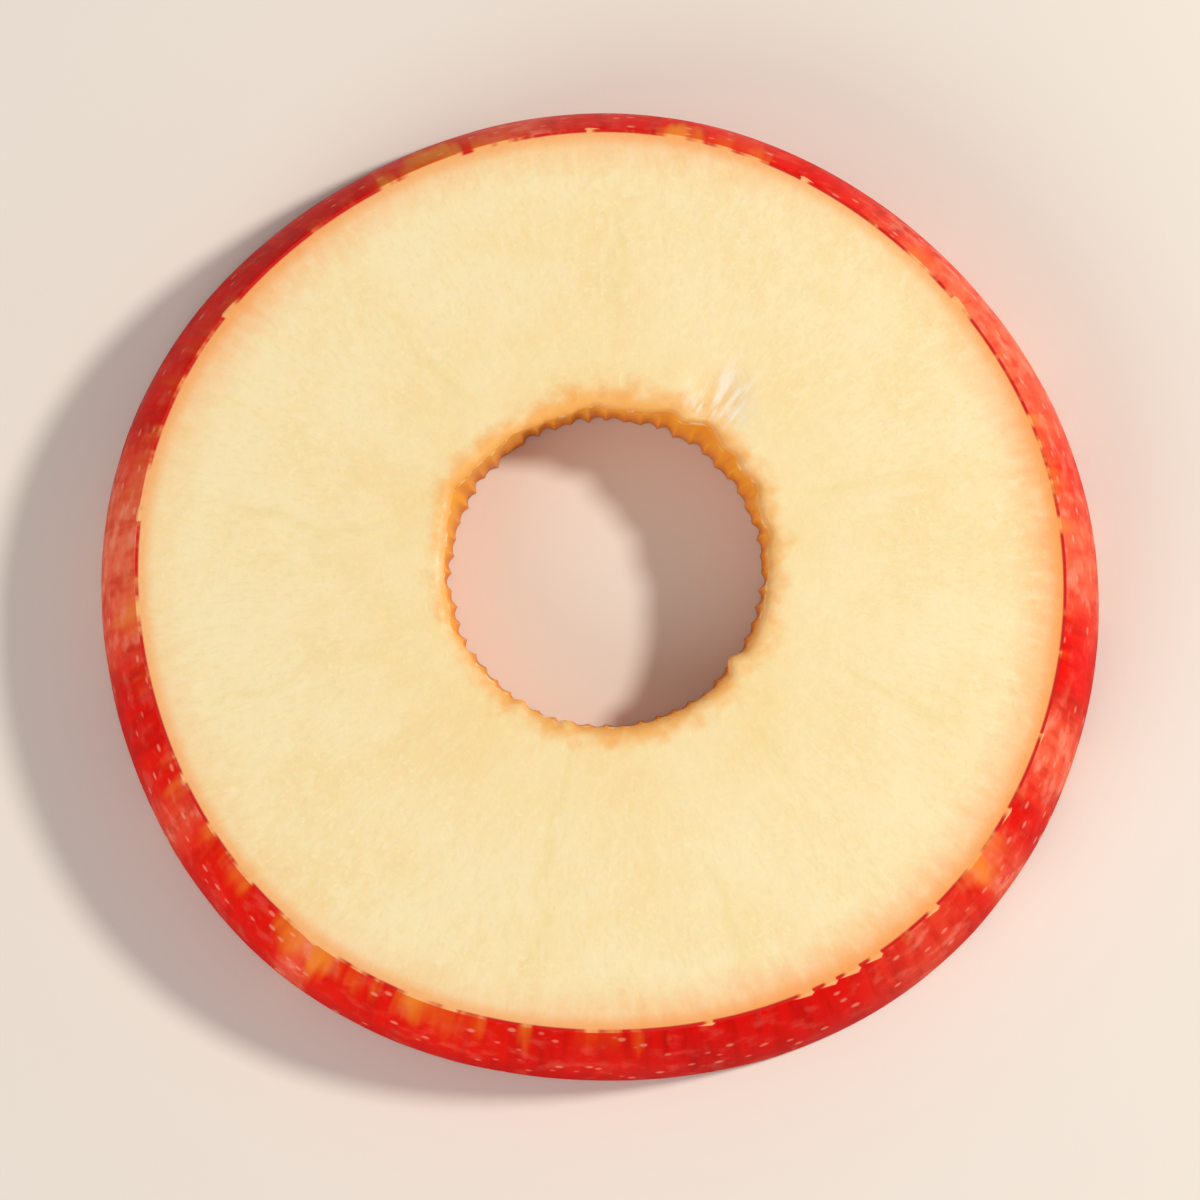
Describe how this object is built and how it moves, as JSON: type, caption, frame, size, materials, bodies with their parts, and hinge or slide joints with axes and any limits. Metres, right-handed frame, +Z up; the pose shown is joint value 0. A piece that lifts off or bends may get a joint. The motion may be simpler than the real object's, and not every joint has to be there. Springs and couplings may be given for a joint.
{
  "type": "apple ring",
  "caption": "Round slice cut across a cored dessert apple, peel on, lying flat, with a scalloped hole through its middle.",
  "frame": {"origin": "centre of the outline's bounding box, on the surface that the ring lies on", "axes": "+Z up through the hole, out of the narrower cut face; the hole sits a little to +Y of the middle"},
  "size_m": [0.0764, 0.0752, 0.0095],
  "materials": {
    "flesh": "moist cut flesh, cream, slightly translucent"
  },
  "bodies": {
    "root": {"apple_ring": "flesh"}
  },
  "joints": []
}
